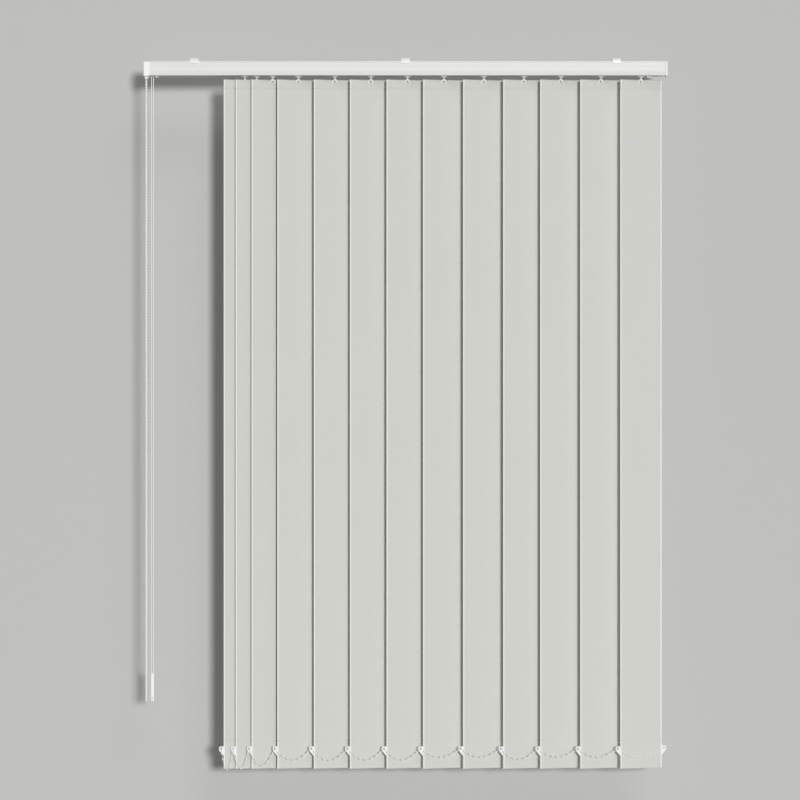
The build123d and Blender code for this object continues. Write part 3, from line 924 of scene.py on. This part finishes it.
@dataclass(frozen=True)
class ChainSizes:
    """The bead chain between two ears."""

    length: float = mm(88.0)
    string: float = mm(0.32)
    bead: float = mm(1.6)
    bead_long: float = mm(1.85)
    knot: float = mm(0.75)
    pin: float = mm(0.45)
    pin_height: float = mm(2.4)
    pitch: float = mm(11.4)
    count: int = 7
    knot_along: float = mm(0.6)
    knot_forward: float = mm(1.85)
    end_along: float = mm(-1.3)
    end_forward: float = mm(1.75)
    span_forward: float = mm(4.3)
    wrap_forward: float = mm(3.2)
    slack: float = mm(8.0)


def arc_length(half_span: float, sag: float) -> float:
    """Length of a parabola of this half span and sag."""
    slope = 2 * sag / half_span
    return half_span * (math.sqrt(1 + slope**2) + math.asinh(slope) / slope)


def sag_of(span: float, length: float) -> float:
    """Sag of a parabola of this span and length, found by halving."""
    low, high = mm(0.01), length
    for _ in range(50):
        middle = (low + high) / 2
        if arc_length(span / 2, middle) < length:
            low = middle
        else:
            high = middle
    return low


def along_parabola(span: float, sag: float, marks: list[float]) -> list[tuple[float, float]]:
    """Places at marks of length along a sagging chain.

    Args:
        span: distance between its ends.
        sag: its drop in the middle.
        marks: lengths from its first end, in order.

    Returns:
        Distance along the span and drop, for each mark.
    """
    steps = 400
    places: list[tuple[float, float]] = []
    travelled = 0.0
    last = (0.0, 0.0)
    for k in range(1, steps + 1):
        t = k / steps
        point = (span * t, 4 * sag * t * (1 - t))
        step = math.dist(point, last)
        while len(places) < len(marks) and travelled + step >= marks[len(places)]:
            part = (marks[len(places)] - travelled) / step
            places.append(
                (last[0] + part * (point[0] - last[0]), last[1] + part * (point[1] - last[1]))
            )
        travelled += step
        last = point
    return places


def tube_along(shape: bmesh.types.BMesh, points: list[Vector], radius: float, sides: int) -> None:
    """Add a round tube through points, closed at both ends.

    Args:
        shape: the bmesh to add to.
        points: the points it follows.
        radius: its radius.
        sides: its number of sides.
    """
    previous = None
    for k, point in enumerate(points):
        before = points[max(k - 1, 0)]
        after = points[min(k + 1, len(points) - 1)]
        turn = (after - before).to_track_quat("Z", "Y").to_matrix().to_4x4()
        ring = bmesh.ops.create_circle(
            shape, segments=sides, radius=radius, cap_ends=k in (0, len(points) - 1),
            matrix=Matrix.Translation(point) @ turn,
        )["verts"]
        edges = list({edge for vert in ring for edge in vert.link_edges})
        if previous is not None:
            bmesh.ops.bridge_loops(shape, edges=previous + edges)
        previous = edges
    bmesh.ops.recalc_face_normals(shape, faces=shape.faces)


def add_bead(shape: bmesh.types.BMesh, place: Vector, along: Vector, radius: float, half: float) -> None:
    """Add one oval bead, its long way along the string."""
    turn = along.to_track_quat("Z", "Y").to_matrix().to_4x4()
    stretch = Matrix.Diagonal((radius, radius, half, 1.0))
    bmesh.ops.create_uvsphere(
        shape, u_segments=12, v_segments=8, radius=1.0,
        matrix=Matrix.Translation(place) @ turn @ stretch,
    )


class SpacerChain:
    """Bead chain that keeps two louvres' lower corners apart."""

    def __init__(self, index: int, total: int, louvre: LouvreSizes, finishes: Finishes) -> None:
        """Take a chain's place from its louvres.

        Args:
            index: number of the louvre at its left end, from zero.
            total: number of louvres.
            louvre: the louvres' sizes.
            finishes: all the finishes.
        """
        self.index = index
        self.total = total
        self.louvre = louvre
        self.sizes = ChainSizes()
        self.finishes = finishes
        self.axis_x = middle_of(numbered("louvre", index)).x

    def ear(self) -> Vector:
        """Hole of the left louvre's front ear."""
        spot = Vector((self.axis_x, 0.0, self.louvre.ear_hole_z))
        return spot - self.louvre.across * self.louvre.ear_hole_at

    def near(self, ear: Vector, along: float, forward: float) -> Vector:
        """Point near an ear's hole, by its place across the louvre and towards the room."""
        return ear + self.louvre.across * along + self.louvre.facing * forward

    def span_points(self, span: float) -> list[Vector]:
        """Pin, knot, beads and end of a chain between two front ears."""
        s = self.sizes
        ear = self.ear()
        first = (s.length - (s.count - 1) * s.pitch) / 2
        marks = [first + k * s.pitch for k in range(s.count)]
        points = [ear, self.near(ear, s.knot_along, s.knot_forward)]
        for along, drop in along_parabola(span, sag_of(span, s.length), marks):
            points.append(ear + Vector((along, -s.span_forward, -drop)))
        points.append(self.near(ear + Vector((span, 0.0, 0.0)), s.end_along, s.end_forward))
        return points

    def wrap_points(self) -> list[Vector]:
        """The same for the chain across the end louvre's own front, with a pin at both ends."""
        s = self.sizes
        ear = self.ear()
        span = 2 * self.louvre.ear_hole_at
        rear = ear + self.louvre.across * span
        length = span + s.slack
        first = (s.length - (s.count - 1) * s.pitch) / 2
        count = math.ceil((length - 2 * first) / s.pitch)
        margin = (length - (count - 1) * s.pitch) / 2
        marks = [margin + k * s.pitch for k in range(count)]
        points = [ear, self.near(ear, s.knot_along, s.knot_forward)]
        for along, drop in along_parabola(span, sag_of(span, length), marks):
            points.append(self.near(ear, along, s.wrap_forward) + Vector((0, 0, -drop)))
        return points + [self.near(rear, -s.knot_along, s.knot_forward), rear]

    def build(self) -> bpy.types.Object:
        """Make the chain and hang it between its bodies.

        Returns:
            The finished chain.
        """
        last = self.index == self.total - 1
        if last:
            points = self.wrap_points()
            reach = 0.0
        else:
            reach = middle_of(numbered("louvre", self.index + 1)).x - self.axis_x
            points = self.span_points(reach)
        shape = bmesh.new()
        tube_along(shape, points, self.sizes.string, 8)
        beads = range(2, len(points) - (2 if last else 1))
        for k in range(1, len(points) - 1):
            radius = self.sizes.bead if k in beads else self.sizes.knot
            half = self.sizes.bead_long if k in beads else self.sizes.knot
            add_bead(shape, points[k], points[k + 1] - points[k - 1], radius, half)
        half = self.sizes.pin_height / 2
        for pin in (points[0], points[-1]) if last else (points[0],):
            add_turned(shape, pin, [(self.sizes.pin, half), (self.sizes.pin, -half)], 12)
        bmesh.ops.recalc_face_normals(shape, faces=shape.faces)
        piece = finished(numbered("spacer_chain", self.index), shape)
        self.finishes.dress(piece, Slot.SPACER)
        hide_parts(numbered("front_chain", self.index))
        here, there = numbered("chain", self.index), numbered("chain", self.index + 1)
        if last:
            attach(piece, numbered("louvre", self.index))
        elif self.index == self.total - 2:
            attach(piece, here)
            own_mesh(piece)
        else:
            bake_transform(piece)
        return piece


# Hanging controls


@dataclass(frozen=True)
class ControlSizes:
    """Draw cord and operating chain, by the same points as their tubes."""

    cord_radius: float = mm(0.9)
    cord_start: float = mm(-33.0)
    cord_turn: float = mm(-1272.0)
    cord_first: tuple[float, float] = (mm(-507.8), mm(-4.0))
    cord_second: tuple[float, float] = (mm(-504.2), mm(4.0))
    chain_x: float = mm(-518.2)
    chain_half_depth: float = mm(10.5)
    chain_start: float = mm(-38.0)
    chain_turn: float = mm(-1285.0)
    bead_radius: float = mm(2.0)
    bead_pitch: float = mm(6.0)
    string_radius: float = mm(0.7)


class HangingLoop:
    """A cord that hangs from the headrail, turns and goes back up."""

    def __init__(
        self, name: str, first: tuple[float, float], second: tuple[float, float],
        start: float, turn: float, radius: float,
    ) -> None:
        """Keep the loop's route.

        Args:
            name: the piece's name.
            first: X and Y of the strand that it goes down.
            second: X and Y of the strand that it comes up.
            start: height of both upper ends.
            turn: height of the two lower corners.
            radius: the cord's radius.
        """
        self.name = name
        self.radius = radius
        lead = turn + 12 * radius
        self.route = [
            Vector((*first, start)),
            Vector((*first, lead)),
            Vector((*first, turn)),
            Vector((*second, turn)),
            Vector((*second, lead)),
            Vector((*second, start)),
        ]

    def build(self) -> bpy.types.Object:
        """Make the cord as one smooth spline.

        Returns:
            The curve object.
        """
        data = bpy.data.curves.new(self.name, "CURVE")
        data.dimensions = "3D"
        spline = data.splines.new("NURBS")
        spline.points.add(len(self.route) - 1)
        for place, point in zip(spline.points, self.route):
            place.co = (*point, 1.0)
        spline.order_u = 3
        spline.use_endpoint_u = True
        spline.resolution_u = 24
        data.bevel_resolution = 3
        piece = bpy.data.objects.new(self.name, data)
        bpy.context.scene.collection.objects.link(piece)
        return piece

    def line(self, piece: bpy.types.Object) -> list[Vector]:
        """Points of the spline, read before it has a bevel."""
        bpy.context.view_layer.update()
        mesh = bpy.data.meshes.new_from_object(piece)
        points = [vert.co.copy() for vert in mesh.vertices]
        bpy.data.meshes.remove(mesh)
        return points


def spaced(points: list[Vector], pitch: float) -> list[tuple[Vector, Vector]]:
    """Places at even steps along a line of points.

    Args:
        points: the line.
        pitch: the step.

    Returns:
        Each place with the line's direction there.
    """
    places = []
    wanted = pitch / 2
    travelled = 0.0
    for start, end in zip(points, points[1:]):
        step = (end - start).length
        while travelled + step >= wanted:
            part = (wanted - travelled) / step
            places.append((start.lerp(end, part), (end - start).normalized()))
            wanted += pitch
        travelled += step
    return places


class Controls:
    """Draw cord with its weight, and the operating bead chain."""

    def __init__(self, finishes: Finishes) -> None:
        """Keep the finishes that the controls take."""
        self.finishes = finishes
        self.sizes = ControlSizes()

    def draw_cord(self) -> bpy.types.Object:
        s = self.sizes
        loop = HangingLoop(
            "draw_cord_braid", s.cord_first, s.cord_second, s.cord_start, s.cord_turn, s.cord_radius
        )
        piece = loop.build()
        points = loop.line(piece)
        piece.data.bevel_depth = s.cord_radius
        self.finishes.dress(piece, Slot.CORD)
        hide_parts("draw_cord")
        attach(piece, "root")
        return piece

    def operating_chain(self) -> list[bpy.types.Object]:
        s = self.sizes
        loop = HangingLoop(
            "operating_chain_string",
            (s.chain_x, -s.chain_half_depth), (s.chain_x, s.chain_half_depth),
            s.chain_start, s.chain_turn, s.bead_radius,
        )
        string = loop.build()
        points = loop.line(string)
        string.data.bevel_depth = s.string_radius
        shape = bmesh.new()
        for place, along in spaced(points, s.bead_pitch):
            add_bead(shape, place, along, s.bead_radius, s.bead_radius)
        beads = finished("operating_chain_beads", shape)
        for piece in (string, beads):
            self.finishes.dress(piece, Slot.BEADS)
            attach(piece, "root")
        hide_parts("operating_chain")
        return [string, beads]


# Studio


@dataclass(frozen=True)
class StudioSizes:
    """Camera, lights, floor and backdrop."""

    image: int = 800
    metres_per_pixel: float = mm(2.0)
    rail_middle_pixel: float = 405.5
    ceiling_pixel: float = 58.5
    camera_distance: float = 9.0
    sensor: float = 36.0
    clip_end: float = 60.0
    floor_z: float = -2.2
    wall_y: float = 0.15
    half_room: float = 6.0
    cove: float = 0.12
    wall_colour: tuple[float, float, float] = (0.52, 0.52, 0.51)
    key_power: float = 2.17
    key_side: float = 11.0
    key_height: float = 5.0
    key_softness: float = 7.0
    fill_power: float = 0.40
    fill_side: float = 20.0
    fill_height: float = 42.0
    fill_softness: float = 24.0
    back_power: float = 0.9
    back_side: float = 158.0
    back_height: float = 22.0
    back_softness: float = 30.0
    sky: float = 0.20


class Studio:
    """A plain grey room with soft light and the camera."""

    def __init__(self) -> None:
        """Keep the studio's sizes."""
        self.sizes = StudioSizes()

    def camera(self) -> None:
        """Stand the camera square to the blind, framed as the object is seen."""
        s = self.sizes
        data = bpy.data.cameras.new("view")
        data.sensor_width = s.sensor
        data.lens = s.sensor * s.camera_distance / (s.image * s.metres_per_pixel)
        data.clip_end = s.clip_end
        camera = bpy.data.objects.new("view", data)
        across = (s.image / 2 - s.rail_middle_pixel) * s.metres_per_pixel
        height = (s.ceiling_pixel - s.image / 2) * s.metres_per_pixel
        camera.location = (across, -s.camera_distance, height)
        camera.rotation_euler = (math.radians(90.0), 0.0, 0.0)
        bpy.context.scene.collection.objects.link(camera)
        bpy.context.scene.camera = camera

    def room(self) -> None:
        """Make the floor and backdrop as one sheet with a rounded corner, clear from behind."""
        s = self.sizes
        shape = bmesh.new()
        profile = [(-s.half_room, s.floor_z), (s.wall_y - s.cove, s.floor_z)]
        for k in range(1, 9):
            turn = math.pi / 2 * k / 8
            profile.append(
                (s.wall_y - s.cove + s.cove * math.sin(turn), s.floor_z + s.cove * (1 - math.cos(turn)))
            )
        profile.append((s.wall_y, s.half_room))
        line = [shape.verts.new((-s.half_room, y, z)) for y, z in profile]
        edges = [shape.edges.new(pair) for pair in zip(line, line[1:])]
        made = bmesh.ops.extrude_edge_only(shape, edges=edges)["geom"]
        moved = [part for part in made if isinstance(part, bmesh.types.BMVert)]
        bmesh.ops.translate(shape, verts=moved, vec=(2 * s.half_room, 0, 0))
        shape.normal_update()
        if sum(face.normal.y for face in shape.faces) > 0.0:
            bmesh.ops.reverse_faces(shape, faces=shape.faces[:])
        room = finished("studio_room", shape)
        writer = FinishWriter("studio_paint")
        writer.shader.inputs["Base Color"].default_value = (*s.wall_colour, 1.0)
        writer.shader.inputs["Roughness"].default_value = 0.9
        writer.shader.inputs["Specular IOR Level"].default_value = 0.1
        clear = writer.nodes.new("ShaderNodeBsdfTransparent")
        sides = writer.nodes.new("ShaderNodeMixShader")
        either = writer.nodes.new("ShaderNodeMath")
        either.operation = "MAXIMUM"
        behind = writer.nodes.new("ShaderNodeNewGeometry").outputs["Backfacing"]
        writer.links.new(behind, either.inputs[0])
        shadow = writer.nodes.new("ShaderNodeLightPath").outputs["Is Shadow Ray"]
        writer.links.new(shadow, either.inputs[1])
        writer.links.new(either.outputs[0], sides.inputs[0])
        writer.links.new(writer.shader.outputs[0], sides.inputs[1])
        writer.links.new(clear.outputs[0], sides.inputs[2])
        writer.links.new(sides.outputs[0], writer.nodes["Material Output"].inputs["Surface"])
        room.data.materials.append(writer.material)

    def sun(self, name: str, power: float, side: float, height: float, softness: float) -> None:
        """Add one distant light.

        Args:
            name: the light's name.
            power: its strength.
            side: degrees to the right of straight ahead.
            height: degrees above the horizon.
            softness: the angle that the light covers, in degrees.
        """
        data = bpy.data.lights.new(name, "SUN")
        data.energy = power
        data.angle = math.radians(softness)
        light = bpy.data.objects.new(name, data)
        light.rotation_euler = (math.radians(90.0 - height), 0.0, math.radians(side))
        bpy.context.scene.collection.objects.link(light)

    def lights(self) -> None:
        """A key from the front and right, wide lights above it and behind, and an even sky."""
        s = self.sizes
        self.sun("key", s.key_power, s.key_side, s.key_height, s.key_softness)
        self.sun("fill", s.fill_power, s.fill_side, s.fill_height, s.fill_softness)
        self.sun("back", s.back_power, s.back_side, s.back_height, s.back_softness)
        world = bpy.data.worlds.new("sky")
        world.use_nodes = True
        nodes, links = world.node_tree.nodes, world.node_tree.links
        background = nodes["Background"]
        background.inputs["Color"].default_value = (1.0, 1.0, 1.0, 1.0)
        background.inputs["Strength"].default_value = s.sky
        shown = nodes.new("ShaderNodeBackground")
        shown.inputs["Color"].default_value = (*s.wall_colour, 1.0)
        pick = nodes.new("ShaderNodeMixShader")
        links.new(nodes.new("ShaderNodeLightPath").outputs["Is Camera Ray"], pick.inputs[0])
        links.new(background.outputs[0], pick.inputs[1])
        links.new(shown.outputs[0], pick.inputs[2])
        links.new(pick.outputs[0], nodes["World Output"].inputs["Surface"])
        bpy.context.scene.world = world
        bpy.context.scene.view_settings.view_transform = "Standard"


def main() -> None:
    """Build the whole scene in order."""
    logging.basicConfig(level=logging.INFO, format="%(message)s")
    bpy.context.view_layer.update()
    louvre_sizes = LouvreSizes()
    studio = Studio()
    studio.camera()
    finishes = Finishes(louvre_sizes)
    controls = Controls(finishes)
    LOG.info("made %s", controls.draw_cord().name)
    for piece in controls.operating_chain():
        LOG.info("made %s", piece.name)
    total = sum(1 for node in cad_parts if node.startswith("truck_"))
    for index in range(total):
        LOG.info("made %s", Louvre(index, louvre_sizes, finishes).build().name)
        LOG.info("made %s", Fittings(index, louvre_sizes, finishes).build().name)
        LOG.info("made %s", SpacerChain(index, total, louvre_sizes, finishes).build().name)
        finishes.repaint(numbered("truck", index), Slot.TRUCK)
    finishes.repaint("headrail", Slot.RAIL)
    finishes.repaint("control_end_cap", Slot.MOULDING)
    finishes.repaint("return_end_cap", Slot.MOULDING)
    finishes.repaint("cord_weight", Slot.MOULDING)
    finishes.repaint("mounting_brackets", Slot.BRACKET)
    finishes.repaint("tilt_rod", Slot.ROD)
    studio.room()
    studio.lights()


if __name__ == "__main__":
    main()
